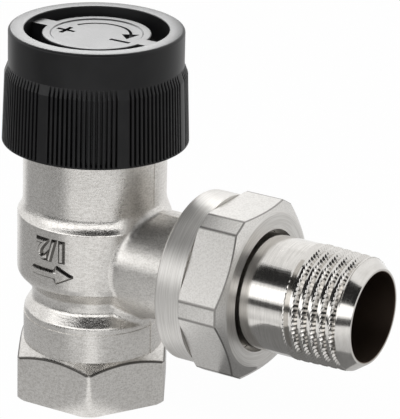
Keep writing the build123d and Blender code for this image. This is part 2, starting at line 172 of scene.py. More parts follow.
class ForgingSizes(bpy.types.PropertyGroup):
    """Sizes of the forged body's marks, hexagon and shoulder"""

    arrow_length: length("Arrow length", "Length of the flow arrow", 9.4)
    arrow_shaft: length("Shaft", "Width of the arrow's shaft", 1.7)
    arrow_head: length("Head", "Width of the arrow's head", 4.0)
    arrow_head_length: length("Head length", "Length of the arrow's head", 4.0)
    relief: length("Relief", "How far raised marks stand out of the body", 0.55)
    bevel: length("Bevel", "Slope of the sides of raised marks", 0.5)
    sink: length("Sink", "How far raised marks reach into the body", 0.6)
    bulge_d: length("Bulge", "Diameter of the body where the arrow stands", 28.2)
    arrow_height: length("Arrow height", "Height of the arrow above the inlet face", 27.0)
    size_letter: length("Size mark", "Type size of the raised pipe size", 5.2)
    letter_thin: length("Letter thinning", "How far the tops of the pipe size's strokes are thinned", 0.1)
    size_height: length("Size height", "Height of the pipe size above the inlet face", 31.7)
    hex_flats: length("Hexagon", "Width across the inlet hexagon's flats", 27.0)
    hex_height: length("Hexagon height", "Height of the inlet hexagon", 9.9)
    hex_chamfer: angle("Hexagon chamfer", "Slope of the chamfer on the inlet hexagon", 30)
    # The hexagon line is painted shade along the edge of the chamfer
    hex_line: length("Hexagon line", "Width of the dark line under the hexagon's chamfer", 0.4)
    band_d: length("Band", "Diameter of the band above the inlet hexagon", 25.8)
    neck_d: length("Neck", "Diameter of the neck above the shoulder", 26.2)
    shoulder_low: length("Shoulder edge", "Height of the shoulder's lower edge", 35.2)
    shoulder_high: length("Shoulder top", "Height at which the solid's shoulder meets the neck", 38.0)
    shoulder_hollow: length("Shoulder hollow", "Radius of the hollow between neck and edge", 4.7)
    shoulder_soft: length("Shoulder softness", "Rounding of the shoulder's edge", 0.12)


class NutSizes(bpy.types.PropertyGroup):
    """Sizes of the union nut"""

    flats: length("Flats", "Width across the six wide flats", 30.0)
    corners: length("Corners", "Width across the narrow flats at the corners", 32.75)
    face_d: length("Face", "Diameter of the front face", 28.0)
    collar: length("Collar", "Length of the round collar", 5.2)
    chamfer: angle("Chamfer", "Angle of the chamfer to the front face", 25)
    # The nut's dark edge lines are painted shade
    line: length("Line", "Width of the dark lines along the edges", 0.22)


class InsertSizes(bpy.types.PropertyGroup):
    """Sizes of the pieces inside the valve"""

    spring_seat: length("Spring seat", "Height of the spring's fixed end", 41.0)
    spring_travel: length("Spring travel", "How far a closed valve presses the spring together", 2.5)


class Finishes(bpy.types.PropertyGroup):
    """Colours and sheen of the finishes"""

    nickel: colour("Matt nickel", "Forged body under its matt nickel plate", (0.80, 0.78, 0.75))
    nickel_shade: colour("Nickel shade", "Deeper tone in the grain of the nickel", (0.46, 0.44, 0.41))
    # Painted shade: the colour of the raised marks' sides, of the line under the hexagon's chamfer and of
    # the nut's edges
    painted_edge_shade: colour("Mark shade", "Dark sides of the raised marks", (0.13, 0.123, 0.115))
    nut_nickel: colour("Satin nickel", "Turned and drawn nickel of the union nut", (0.76, 0.745, 0.72))
    bright_nickel: colour("Bright nickel", "Turned nickel of the tailpiece", (0.74, 0.72, 0.69))
    bore_stain: colour("Bore stain", "Dull brown skin of the bore", (0.19, 0.145, 0.115))
    plastic: colour("Black plastic", "Moulded plastic of the hand cap", (0.0075, 0.0075, 0.008))
    brass: colour("Plain brass", "Turned brass of the insert", (0.78, 0.58, 0.28))
    brass_shade: colour("Brass shade", "Tarnish on the brass", (0.50, 0.34, 0.15))
    steel: colour("Stainless steel", "Spindle, pin, clip and spring", (0.62, 0.61, 0.60))
    rubber: colour("Seal rubber", "Seal rings and valve disc", (0.022, 0.022, 0.022))
    body_sheen: share("Body roughness", "Roughness of the forged body", 0.25)
    nut_sheen: share("Nut roughness", "Roughness of the nut's flats", 0.32)
    tail_sheen: share("Tail roughness", "Roughness of the tailpiece", 0.13)
    cap_sheen: share("Cap roughness", "Roughness of the cap's plastic", 0.38)


class StageLevels(bpy.types.PropertyGroup):
    """Brightness of the stage"""

    fill: level("Fill", "Light that comes evenly from all round", 0.55)
    key_power: level("Key power", "Power of the large lamp above", 3.0)
    back_card: level("Back card", "Brightness of the softbox behind the cap", 8.0)
    dark_card: level("Dark card", "Brightness of the dark gap between the lamps", 0.025)
    low_card: level("Low card", "Brightness of the dark line above the table's edge", 0.06)
    strip_card: level("Strip card", "Brightness of the strip lamp in front", 1.7)
    rear_card: level("Rear card", "Brightness of the wall behind in reflections", 1.12)
    # Painted shade: a dim card under the tailpiece stands in for the shadowed floor below it in reflections
    under_shade_card: level("Under card", "Brightness below the tailpiece in reflections", 0.22)
    floor_glow: share("Floor glow", "How far the floor is lifted to white for the eye", 0.975)
    # Painted shadow and painted shade in reflections: the floor's glow beside the valve and at the left and
    # right
    floor_shadow: share("Floor near", "Brightness of the floor beside the valve in reflections", 0.56)
    floor_left: share("Floor left", "Brightness of the floor at the left in reflections", 0.42)
    floor_right: share("Floor right", "Brightness of the floor at the right in reflections", 0.75)


GROUPS = {
    "valve_cap": CapSizes,
    "valve_tail": TailSizes,
    "valve_forging": ForgingSizes,
    "valve_nut": NutSizes,
    "valve_insert": InsertSizes,
    "valve_finish": Finishes,
    "valve_stage": StageLevels,
}


def math_method(operation, swapped=False):
    """A method of a wire that adds a Math node, with its values in turn or swapped."""

    def method(self, *others):
        values = (*others, self) if swapped else (self, *others)
        return self.node("Math", dict(enumerate(values)), {"operation": operation})

    return method


class Wire:
    """An output socket of a shader tree that Python arithmetic turns into Math nodes."""

    def __init__(self, tree, socket=None):
        self.tree = tree
        self.socket = socket

    def node(self, kind, inputs=None, settings=None, output=0):
        """Add a node, give it its settings, and then set or link its sockets."""
        made = self.tree.nodes.new("ShaderNode" + kind)
        for key, value in (settings or {}).items():
            setattr(made, key, value)
        for key, value in (inputs or {}).items():
            if isinstance(value, Wire):
                self.tree.links.new(value.socket, made.inputs[key])
            else:
                made.inputs[key].default_value = value
        return Wire(self.tree, made.outputs[output] if made.outputs else None)

    __add__ = math_method("ADD")
    __radd__ = math_method("ADD", swapped=True)
    __sub__ = math_method("SUBTRACT")
    __rsub__ = math_method("SUBTRACT", swapped=True)
    __mul__ = math_method("MULTIPLY")
    __rmul__ = math_method("MULTIPLY", swapped=True)
    __truediv__ = math_method("DIVIDE")
    __pow__ = math_method("POWER")
    __abs__ = math_method("ABSOLUTE")
    most = math_method("MAXIMUM")

    def rise(self, low, high):
        """Go smoothly from 0 at low to 1 at high."""
        limits = {"Value": self, "From Min": low, "From Max": high}
        return self.node("MapRange", limits, {"interpolation_type": "SMOOTHSTEP"})

    def blend(self, first, second):
        """Mix two colours, with this value as the share of the second."""
        colours = {0: self, 6: rgba(first), 7: rgba(second)}
        return self.node("Mix", colours, {"data_type": "RGBA"}, 2)

    def parts(self):
        """The three coordinates of this place."""
        first = self.node("SeparateXYZ", {0: self})
        return [Wire(self.tree, socket) for socket in first.socket.node.outputs]

    def noise(self, grains, detail=2.0):
        """Noise at this place, with so many grains to the metre, all ways or along each axis."""
        ways = grains if isinstance(grains, tuple) else (grains, grains, grains)
        place = self.node("VectorMath", {0: self, 1: ways}, {"operation": "MULTIPLY"})
        return place.node("TexNoise", {"Vector": place, "Scale": 1.0, "Detail": detail})


def rgba(value):
    """A colour with its alpha, or a wire as it is."""
    return value if isinstance(value, Wire) else (*value, 1.0)


def toned(tint, factor):
    """A colour made lighter or darker."""
    return [factor * part for part in tint]


def start_material(name):
    """A new empty material, and a wire at the place on the object."""
    material = bpy.data.materials.new(name)
    material.use_nodes = True
    material.node_tree.nodes.clear()
    place = Wire(material.node_tree).node("TexCoord", output="Object")
    return material, place


def end_material(place, base, roughness, height, bump, **constants):
    """Close a material with its shader, and a bump of so many metres."""
    normal = place.node("Bump", {"Height": height, "Distance": bump, "Strength": 1.0})
    inputs = {"Base Color": base, "Roughness": roughness, "Normal": normal, **constants}
    shader = place.node("BsdfPrincipled", inputs)
    place.node("OutputMaterial", {"Surface": shader})


# Finishes: grains to the metre, all ways or along each axis, and the depth of each bump
FORGED_GRAIN = 3000.0
FORGED_DRAWN = (900.0, 900.0, 4200.0)
FORGED_WAVES = 260.0
FORGED_BUMP = 0.017 * MM
NUT_TURNING = 5200.0
NUT_SPECKLE = 3400.0
NUT_BUMP = 0.012 * MM
TAIL_TURNING = 3600.0
TAIL_SMEAR = 420.0
TAIL_BUMP = 0.004 * MM
CAP_TEXTURE = 5200.0
CAP_FLOW = 180.0
CAP_BUMP = 0.006 * MM
BRASS_TURNING = (900.0, 900.0, 5600.0)
BRASS_TARNISH = 300.0
BRASS_BUMP = 0.006 * MM
STEEL_GRINDING = (1100.0, 1100.0, 7000.0)
STEEL_BUMP = 0.004 * MM
RUBBER_BLOOM = 700.0
RUBBER_BUMP = 0.01 * MM
# Grains of the turning lines round the outlet, where a direction has the length 1
ROUND_GRAINS = 2.0
# Zones of the finishes: painted shade below a mark's crest, the end of the hexagon's painted shade line
# above the hexagon, along the branch, at edges and in the bore
MARK_LIGHT = 0.06 * MM
MARK_DARK = 0.2 * MM
HEXAGON_FADE = 1.1
BRANCH_START = 9 * MM
BRANCH_END = 14 * MM
EDGE_FADE = 0.1 * MM
STAIN_EDGE = 0.25 * MM
# Directions round a hexagon's axis in degrees, across its flats and across its corners
FLAT_TURNS = (30, 90, 150)
CORNER_TURNS = (0, 60, 120)


def off_axis(first, second):
    """How far a place lies from an axis, from its two coordinates across it."""
    return (first * first + second * second) ** 0.5


def outlet_polar(place):
    """Along the outlet, radius from its axis, and the two shares of the direction round it."""
    along, across, height = place.parts()
    above = height - OUTLET_HEIGHT
    radius = off_axis(across, above)
    return along, radius, across / radius, above / radius


def turning_lines(polar, grains):
    """Fine lines that run round the outlet axis."""
    along, radius, across, above = polar
    spot = {0: (along + radius) * grains, 1: across * ROUND_GRAINS, 2: above * ROUND_GRAINS}
    return along.node("CombineXYZ", spot).noise(1.0, 3.0)


def widest(across, above, turns):
    """How far a place reaches out along the best of some directions round an axis."""
    ways = [(math.cos(turn), math.sin(turn)) for turn in map(math.radians, turns)]
    return reduce(Wire.most, [abs(across * way[0] + above * way[1]) for way in ways])


def just_inside(reach, edge, line):
    """Rise to 1 over the width of a line that ends at an edge."""
    return reach.rise(edge - line, edge - line / 4)


def hexagon_line(across, along, above, sizes):
    """1 on the inlet hexagon's flats along the edge of their chamfer, where a line of painted shade goes.
    """
    line, top = sizes.hex_line, sizes.hex_height
    flat = just_inside(widest(across, along, FLAT_TURNS), sizes.hex_flats / 2, line)
    cone = above + (off_axis(across, along) - sizes.band_d / 2) * math.tan(sizes.hex_chamfer)
    return flat * cone.rise(top - line, top - line / 2) * above.rise(top * HEXAGON_FADE, top)


def nut_edges(polar, sizes):
    """1 along the edges between the nut's flats, and between the flats and the front chamfer, where painted
    shade darkens the flats.
    """
    along, radius, across, above = polar
    sides = (across * radius, above * radius)
    flat = just_inside(widest(*sides, FLAT_TURNS), sizes.flats / 2, sizes.line)
    corner = just_inside(widest(*sides, CORNER_TURNS), sizes.corners / 2, sizes.line)
    back = (NUT_HIGH.x - along) * (1 / math.tan(sizes.chamfer))
    chamfer = just_inside(radius - back, sizes.face_d / 2, 2 * sizes.line)
    return (flat * corner).most(flat.most(corner) * chamfer)


def forged_nickel(finish, sizes, name="forged_nickel", crest=None):
    """Forged and tumbled body: fine grain, with a painted shade line at the hexagon or painted shade on the
    sides below a mark's crest.
    """
    material, place = start_material(name)
    across, along, above = place.parts()
    grain = place.noise(FORGED_GRAIN, 1.0)
    drawn = place.noise(FORGED_DRAWN)
    uneven = place.noise(FORGED_WAVES)
    tone = grain.rise(0.60, 0.34) * 0.36 + drawn.rise(0.62, 0.36) * 0.24
    plate = tone.blend(finish.nickel, finish.nickel_shade)
    # Painted shade: below a mark's crest, or along the hexagon's chamfer, the colour turns to the painted
    # edge shade
    if crest:
        dark = off_axis(across, along).rise(crest - MARK_LIGHT, crest - MARK_DARK)
    else:
        dark = hexagon_line(across, along, above, sizes)
    base = dark.blend(plate, finish.painted_edge_shade)
    branch = across.rise(BRANCH_START, BRANCH_END)
    roughness = uneven * 0.10 + grain * 0.14 + branch * 0.14 + (finish.body_sheen - 0.12)
    height = grain + drawn * 0.8 + uneven * 1.6
    end_material(place, base, roughness, height, FORGED_BUMP, Metallic=1.0)
    return material


def turned_nickel(finish, sizes):
    """Union nut: drawn flats with a fine speckle and painted shade along their edges, and turning lines on
    collar and front.
    """
    material, place = start_material("turned_nickel")
    polar = outlet_polar(place)
    along = polar[0]
    lines = turning_lines(polar, NUT_TURNING)
    speckle = place.noise(NUT_SPECKLE, 3.0)
    collar_end = NUT_LOW.x + sizes.collar
    collar = along.rise(collar_end + 3 * EDGE_FADE, collar_end)
    front = along.rise(NUT_HIGH.x - 3 * EDGE_FADE, NUT_HIGH.x - EDGE_FADE)
    turned = collar.most(front)
    tone = speckle.rise(0.66, 0.30) * (1 - turned) * 0.45 + lines.rise(0.62, 0.40) * turned * 0.35
    plate = tone.blend(finish.nut_nickel, finish.nickel_shade)
    # Painted shade along the edges of the nut's flats
    edges = nut_edges(polar, sizes) * (1 - turned)
    base = (edges * 0.72).blend(plate, finish.painted_edge_shade)
    roughness = speckle * 0.14 + turned * 0.12 + (finish.nut_sheen - 0.07)
    height = speckle * (1 - turned) + lines * turned
    end_material(place, base, roughness, height, NUT_BUMP, Metallic=1.0)
    return material


def bright_nickel(finish, bore_radius):
    """Tailpiece: bright turned nickel with faint turning lines, and a dull brown bore."""
    material, place = start_material("bright_nickel")
    polar = outlet_polar(place)
    lines = turning_lines(polar, TAIL_TURNING)
    smear = place.noise(TAIL_SMEAR, 3.0)
    bore = polar[1].rise(bore_radius + STAIN_EDGE, bore_radius + STAIN_EDGE / 5)
    tone = lines.rise(0.64, 0.36) * 0.25 + smear.rise(0.6, 0.3) * 0.15
    plate = tone.blend(finish.bright_nickel, finish.nickel_shade)
    base = bore.blend(plate, finish.bore_stain)
    roughness = lines * 0.08 + smear * 0.05 + bore * 0.3 + (finish.tail_sheen - 0.06)
    end_material(place, base, roughness, lines, TAIL_BUMP, Metallic=1.0)
    return material


def black_plastic(finish):
    """Hand cap: satin black moulding with a fine spark-eroded texture and slight flow marks."""
    material, place = start_material("black_plastic")
    texture = place.noise(CAP_TEXTURE)
    flow = place.noise(CAP_FLOW)
    base = flow.rise(0.35, 0.7).blend(finish.plastic, toned(finish.plastic, 1.35))
    roughness = texture * 0.10 + flow * 0.06 + (finish.cap_sheen - 0.08)
    end_material(place, base, roughness, texture, CAP_BUMP, Metallic=0.0, IOR=1.36)
    return material


def plain_brass(finish):
    """Insert pieces: turned brass with light tarnish."""
    material, place = start_material("plain_brass")
    lines = place.noise(BRASS_TURNING, 3.0)
    tarnish = place.noise(BRASS_TARNISH, 3.0)
    base = tarnish.rise(0.42, 0.68).blend(finish.brass, finish.brass_shade)
    roughness = lines * 0.12 + tarnish * 0.12 + 0.16
    end_material(place, base, roughness, lines, BRASS_BUMP, Metallic=1.0)
    return material


def stainless(finish):
    """Drawn and ground steel of the spindle, pin, clip and spring."""
    material, place = start_material("stainless")
    lines = place.noise(STEEL_GRINDING, 3.0)
    base = lines.rise(0.65, 0.35).blend(finish.steel, toned(finish.steel, 0.75))
    end_material(place, base, lines * 0.14 + 0.14, lines, STEEL_BUMP, Metallic=1.0)
    return material


def seal_rubber(finish):
    """Moulded rubber of the rings and the valve disc, with a dusty bloom."""
    material, place = start_material("seal_rubber")
    bloom = place.noise(RUBBER_BLOOM, 3.0)
    base = bloom.rise(0.45, 0.75).blend(finish.rubber, toned(finish.rubber, 2.2))
    end_material(place, base, bloom * 0.2 + 0.5, bloom, RUBBER_BUMP, Metallic=0.0)
    return material


def deselect():
    """Leave nothing selected."""
    if bpy.context.mode != "OBJECT":
        bpy.ops.object.mode_set(mode="OBJECT")
    bpy.ops.object.select_all(action="DESELECT")


def activate(piece):
    """Select one piece alone."""
    deselect()
    piece.select_set(True)
    bpy.context.view_layer.objects.active = piece


def apply_modifier(piece, kind, **settings):
    """Put a modifier on a piece and apply it."""
    modifier = piece.modifiers.new(kind.title(), kind)
    for key, value in settings.items():
        setattr(modifier, key, value)
    activate(piece)
    bpy.ops.object.modifier_apply(modifier=modifier.name)


def combine(piece, tool, operation):
    """Join a tool to a piece or cut it out, and remove the tool."""
    apply_modifier(piece, "BOOLEAN", operation=operation, object=tool, solver="EXACT")
    bpy.data.objects.remove(tool)


def joined(pieces):
    """Join several pieces into the first."""
    activate(pieces[0])
    for piece in pieces:
        piece.select_set(True)
    bpy.ops.object.join()
    return pieces[0]


def edit(piece):
    """Open a piece in edit mode with all of it selected."""
    activate(piece)
    bpy.ops.object.mode_set(mode="EDIT")
    bpy.ops.mesh.select_all(action="SELECT")


def mend(piece):
    """Weld doubles, drop loose edges and turn the faces outwards."""
    edit(piece)
    bpy.ops.mesh.remove_doubles(threshold=WELD)
    bpy.ops.mesh.delete_loose()
    bpy.ops.mesh.select_all(action="SELECT")
    bpy.ops.mesh.normals_make_consistent(inside=False)
    bpy.ops.object.mode_set(mode="OBJECT")


def cut_across(piece, places, way, **settings):
    """Cut a piece along planes through some places that all face one way."""
    edit(piece)
    for place in places:
        bpy.ops.mesh.select_all(action="SELECT")
        bpy.ops.mesh.bisect(plane_co=place, plane_no=way, **settings)
    bpy.ops.object.mode_set(mode="OBJECT")


def clamped(value):
    """A value held between 0 and 1."""
    return min(1, max(0, value))


def rounded(corners):
    """The points of an outline, each corner given as two coordinates and an optional rounding."""
    points = []
    for index, corner in enumerate(corners):
        spot = Vector(corner[:2])
        radius = corner[2] if len(corner) > 2 else 0
        if not radius:
            points.append(spot)
            continue
        back = (Vector(corners[index - 1][:2]) - spot).normalized()
        ahead = (Vector(corners[(index + 1) % len(corners)][:2]) - spot).normalized()
        half = back.angle(ahead) / 2
        centre = spot + (back + ahead).normalized() * radius / math.sin(half)
        start = spot + back * radius / math.tan(half) - centre
        end = spot + ahead * radius / math.tan(half) - centre
        for step in range(ARC_STEPS + 1):
            points.append(centre + start.lerp(end, step / ARC_STEPS).normalized() * radius)
    return points


def outline_piece(name, points, fill="NOTHING"):
    """A new piece with one closed loop of vertices at these points."""
    deselect()
    bpy.ops.mesh.primitive_circle_add(vertices=len(points), radius=1.0, fill_type=fill)
    piece = bpy.context.object
    piece.name = name
    piece.data.name = name
    for vertex, point in zip(piece.data.vertices, points):
        vertex.co = point
    return piece


def lathe(name, points, steps, centre, axis):
    """Spin a closed outline round an axis into a solid."""
    piece = outline_piece(name, points)
    edit(piece)
    bpy.ops.mesh.spin(steps=steps, angle=FULL_TURN, center=centre, axis=axis)
    mend(piece)
    return piece


def turn_on_valve(name, corners, steps, first_angle=0.0):
    """Turn an outline of radii and heights round the valve axis."""
    side = Vector((math.cos(first_angle), math.sin(first_angle), 0))
    points = [side * radius + Vector((0, 0, height)) for radius, height in rounded(corners)]
    return lathe(name, points, steps, (0, 0, 0), (0, 0, 1))


def turn_on_outlet(name, corners, steps):
    """Turn an outline of distances and radii round the outlet axis."""
    points = [Vector((along, 0, OUTLET_HEIGHT + radius)) for along, radius in rounded(corners)]
    return lathe(name, points, steps, (0, 0, OUTLET_HEIGHT), (1, 0, 0))


def prism(name, outline, low, high):
    """Fill a flat outline and raise it from one height to another."""
    piece = outline_piece(name, [Vector((*point, low)) for point in outline], "NGON")
    edit(piece)
    bpy.ops.mesh.extrude_region_move(TRANSFORM_OT_translate={"value": (0, 0, high - low)})
    mend(piece)
    return piece


def hand_in(piece, material, body, node=None):
    """Finish a piece: shading, material, body, slot and the node that it stands for."""
    if not piece.data.polygons:
        raise RuntimeError(f"{piece.name} has no faces")
    activate(piece)
    bpy.ops.object.shade_smooth_by_angle(angle=SMOOTH_ANGLE)
    apply_modifier(piece, "WEIGHTED_NORMAL", keep_sharp=True)
    piece.data.materials.clear()
    piece.data.materials.append(material)
    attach(piece, body)
    if node:
        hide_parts(node)


def dress(nodes, material):
    """Give solids from the frame their finish."""
    for node in nodes:
        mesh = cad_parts[node].data
        mesh.materials.clear()
        mesh.materials.append(material)


# Rib pattern of the cap: columns of the mesh to a rib, ribs to a group, and groups
RIB_COLUMNS = 8
RIBS_PER_GROUP = 17
RIB_GROUPS = 7
GROUP_COLUMNS = RIB_COLUMNS * RIBS_PER_GROUP
CAP_STEPS = GROUP_COLUMNS * RIB_GROUPS
FIRST_GROOVE = 12
GROOVES_PER_GROUP = 15


def groove_offset(column):
    """Columns from the middle of the nearest groove, or a whole rib where there is none."""
    spot = column % GROUP_COLUMNS
    groove = round((spot - FIRST_GROOVE) / RIB_COLUMNS)
    if not 0 <= groove < GROOVES_PER_GROUP:
        return RIB_COLUMNS
    return abs(spot - FIRST_GROOVE - groove * RIB_COLUMNS)


def turned_cap(sizes):
    """The cap's blank, before its ribs and marks."""
    edge = sizes.edge_round
    disc_top = CAP_TOP - sizes.disc_drop
    dish = disc_top - sizes.dish_depth
    moat = CAP_TOP - sizes.moat_depth
    ceiling = moat - sizes.moat_floor
    rib_top = CAP_TOP - sizes.rib_drop
    bore_top = CAP_TOP - sizes.bore_drop
    pad = disc_top - sizes.disc_thickness
    flare = (sizes.skirt_d - sizes.rib_top_d) / 2 * sizes.lip / (rib_top - CAP_LOW.z)
    return turn_on_valve(
        "hand_cap_moulding",
        (
            (0, dish),
            (sizes.dish_d / 2 - edge / 2, dish, edge / 2),
            (sizes.dish_d / 2 + edge / 2, disc_top, edge / 2),
            (sizes.disc_d / 2, disc_top, edge),
            (sizes.disc_d / 2, moat, edge),
            (sizes.ring_inner_d / 2, moat, edge),
            (sizes.ring_inner_d / 2, CAP_TOP, edge),
            (sizes.ring_d / 2, CAP_TOP, sizes.ring_round),
            (sizes.ring_d / 2, rib_top + sizes.shoulder, edge),
            (sizes.rib_top_d / 2, rib_top, edge),
            (sizes.skirt_d / 2 - 2 * flare, CAP_LOW.z + 2 * sizes.lip),
            (sizes.skirt_d / 2 - flare, CAP_LOW.z + sizes.lip),
            (sizes.skirt_d / 2, CAP_LOW.z, edge / 2),
            (sizes.bore_d / 2, CAP_LOW.z, edge),
            (sizes.bore_d / 2, bore_top),
            (sizes.ring_inner_d / 2, bore_top + (sizes.bore_d - sizes.ring_inner_d) / 2),
            (sizes.ring_inner_d / 2, ceiling),
            (sizes.hub_d / 2, ceiling),
            (sizes.hub_d / 2, pad),
            (0, pad),
        ),
        CAP_STEPS,
        sizes.wide_rib,
    )


def sink_grooves(cap, sizes):
    """Move the columns between the ribs in to the groove bottoms, and ease the edges of the ribs."""
    floor = sizes.groove_d / 2
    groove_top = CAP_TOP - sizes.rib_drop + sizes.edge_round
    groove_end = CAP_LOW.z + 1.5 * sizes.lip
    for vertex in cap.data.vertices:
        radius = math.hypot(vertex.co.x, vertex.co.y)
        if radius <= floor or not groove_end < vertex.co.z <= groove_top:
            continue
        turn = math.atan2(vertex.co.y, vertex.co.x) - sizes.wide_rib
        offset = groove_offset(round(turn / FULL_TURN * CAP_STEPS))
        new_radius = radius
        if offset < 2:
            new_radius = floor
        elif offset == 2:
            new_radius = max(floor, radius - sizes.rib_ease)
        vertex.co.x *= new_radius / radius
        vertex.co.y *= new_radius / radius


def bridge_disc(cap, sizes):
    """Join the disc to the ring by two tabs."""
    inner = sizes.hub_d / 2
    outer = (sizes.ring_inner_d + sizes.ring_d) / 4
    half = sizes.tab_width / 2
    top = CAP_TOP - sizes.disc_drop
    bottom = CAP_TOP - sizes.moat_depth - sizes.moat_floor / 2
    tabs = []
    for side in (-1, 1):
        low, high = sorted((side * inner, side * outer))
        tabs.append(prism("tab", ((low, -half), (high, -half), (high, half), (low, half)), bottom, top))
    combine(cap, joined(tabs), "UNION")


# Curved arrow: the angles at which its line starts, its head starts and its tip lies, and its steps
ARC_START, ARC_NECK, ARC_TIP = map(math.radians, (157, 30, 3))
SWEEP_STEPS = 28


def cross(sizes):
    """Outline of a plus."""
    wide = sizes.mark_stroke / 2
    long = sizes.plus_size / 2
    quarter = ((long, -wide), (long, wide), (wide, wide))
    turns = [Matrix.Rotation(step * FULL_TURN / 4, 2) for step in range(4)]
    return [spin @ Vector(point) for spin in turns for point in quarter]


def curved_arrow(sizes):
    """Outline of the arrow that runs from the plus over the back to the minus."""
    middle = sizes.arc_d / 2
    half = sizes.arc_stroke / 2
    head = sizes.arc_head / 2
    sweep = [ARC_START + (ARC_NECK - ARC_START) * step / SWEEP_STEPS for step in range(SWEEP_STEPS + 1)]

    def spot(radius, turn):
        return Vector((radius * math.cos(turn), radius * math.sin(turn)))

    outer = [spot(middle + half, turn) for turn in sweep]
    inner = [spot(middle - half, turn) for turn in reversed(sweep)]
    point = [spot(middle + head, ARC_NECK), spot(middle, ARC_TIP), spot(middle - head, ARC_NECK)]
    return outer + point + inner


def cut_marks(cap, sizes):
    """Sink the plus, the minus and the curved arrow into the dish."""
    dish = CAP_TOP - sizes.disc_drop - sizes.dish_depth
    wide = sizes.mark_stroke / 2
    long = sizes.minus_size / 2
    dash = ((-long, -wide), (long, -wide), (long, wide), (-long, wide))
    plus_place = Vector((-sizes.mark_reach, -sizes.mark_shift))
    minus_place = Vector((sizes.mark_reach, -sizes.mark_shift))
    outlines = (
        [point + plus_place for point in cross(sizes)],
        [Vector(point) + minus_place for point in dash],
        curved_arrow(sizes),
    )
    low, high = dish - sizes.mark_depth, dish + sizes.mark_depth
    combine(cap, joined([prism("mark", outline, low, high) for outline in outlines]), "DIFFERENCE")


# Thread: columns to a turn, spare turns that are trimmed off, the side whose crests lie on the solid's,
# the share of a notch in the middle of the crest, the taper of the diameter, and the drill's overrun
THREAD_STEPS = 156
SPARE_TURNS = 2
THREAD_FACING = math.radians(66)
CREST_NOTCH = 0.35
THREAD_TAPER = 1 / 16
OVERRUN = 1 * MM


def thread_bar(sizes, start, end):
    """A solid bar with the tapered, notched thread, from one place on the outlet to another."""
    pitch = sizes.thread_pitch
    flank = (pitch - sizes.crest_width - sizes.root_width) / 2
    crest = sizes.thread_end_d / 2
    root = crest - sizes.thread_depth
    tooth = (
        (0, root),
        (sizes.root_width, root),
        (sizes.root_width + flank, crest),
        (sizes.root_width + flank + sizes.crest_width / 2, crest),
        (sizes.root_width + flank + sizes.crest_width, crest),
        (pitch, root),
    )
    bar = outline_piece("thread_bar", [Vector((along, 0, radius)) for along, radius in tooth])
    notched = bar.vertex_groups.new(name="notched")
    mid_crest, crest_end = 3, 4
    notched.add([mid_crest], CREST_NOTCH, "REPLACE")
    notched.add([crest_end], 1.0, "REPLACE")
    last = len(tooth) - 1
    for edge in bar.data.edges:
        edge.select = set(edge.vertices) == {0, last}
    for vertex in bar.data.vertices:
        vertex.select = vertex.index in (0, last)
    bpy.ops.object.mode_set(mode="EDIT")
    bpy.ops.mesh.select_mode(type="EDGE")
    bpy.ops.mesh.delete(type="EDGE")
    bpy.ops.mesh.select_mode(type="VERT")
    bpy.ops.object.mode_set(mode="OBJECT")
    turns = math.ceil((end - start) / pitch) + 2 * SPARE_TURNS + 1
    apply_modifier(
        bar,
        "SCREW",
        axis="X",
        angle=FULL_TURN,
        screw_offset=pitch,
        iterations=turns,
        steps=THREAD_STEPS,
        render_steps=THREAD_STEPS,
    )
    lead = sizes.root_width + flank + pitch * THREAD_FACING / FULL_TURN
    bar.data.transform(Matrix.Translation((start - SPARE_TURNS * pitch - lead, 0, 0)))
    mend(bar)
    shape_thread(bar, sizes, start, end)
    bar.data.transform(Matrix.Translation((0, 0, OUTLET_HEIGHT)))
    overlap = sizes.edge_round
    for place, way in ((start - overlap, -1), (end + overlap, 1)):
        cut_across(bar, [(place, 0, 0)], (way, 0, 0), use_fill=True, clear_outer=True)
    mend(bar)
    return bar


def shape_thread(bar, sizes, start, end):
    """Taper the thread, notch every second column of its crests and let it run out of the shank."""
    for vertex in bar.data.vertices:
        along, across, above = vertex.co
        radius = math.hypot(across, above)
        column = round(math.atan2(across, above) / FULL_TURN * THREAD_STEPS)
        weight = sum(group.weight for group in vertex.groups) * (column % 2)
        new_radius = radius - sizes.notch_depth * weight + (end - along) * THREAD_TAPER / 2
        rise = clamped((along - start) / sizes.run_out)
        new_radius = sizes.shank_d / 2 + (new_radius - sizes.shank_d / 2) * rise
        vertex.co.y *= new_radius / radius
        vertex.co.z *= new_radius / radius
    bar.vertex_groups.clear()


def tail_blank(sizes, start, end):
    """The turned tailpiece, with its thread zone cut back below the roots."""
    edge = sizes.edge_round
    bore = sizes.bore_d / 2
    nose = TAIL_LOW.x
    collar = nose + sizes.nose_length
    front = collar + sizes.collar_length
    core = (bore + sizes.thread_end_d / 2 - sizes.thread_depth) / 2
    return turn_on_outlet(
        "tailpiece_turned",
        (
            (nose, sizes.nose_bore_d / 2),
            (nose, sizes.nose_tip_d / 2, edge),
            (collar, sizes.nose_root_d / 2),
            (collar, sizes.collar_d / 2, edge),
            (front, sizes.collar_d / 2, edge),
            (front, sizes.shank_d / 2, edge),
            (start, sizes.shank_d / 2, edge / 2),
            (start, core),
            (end, core),
            (end, sizes.thread_end_d / 2, edge),
            (TAIL_END, bore + sizes.rim_width, edge),
            (TAIL_END, bore, edge / 2),
            (front, bore),
            (collar, sizes.nose_bore_d / 2),
        ),
        THREAD_STEPS,
    )


def flow_arrow_outline(sizes):
    """Outline of an arrow that points along X."""
    tail = -sizes.arrow_length / 2
    tip = sizes.arrow_length / 2
    neck = tip - sizes.arrow_head_length
    shaft = sizes.arrow_shaft / 2
    head = sizes.arrow_head / 2
    return [
        (tail, -shaft),
        (neck, -shaft),
        (neck, -head),
        (tip, 0),
        (neck, head),
        (neck, shaft),
        (tail, shaft),
    ]


def slice_along(piece, step):
    """Cut a flat piece across at even steps, so that it can follow a round surface."""
    places = [vertex.co.x for vertex in piece.data.vertices]
    count = int((max(places) - min(places)) / step)
    cut_across(piece, [(min(places) + index * step, 0, 0) for index in range(1, count + 1)], (1, 0, 0))


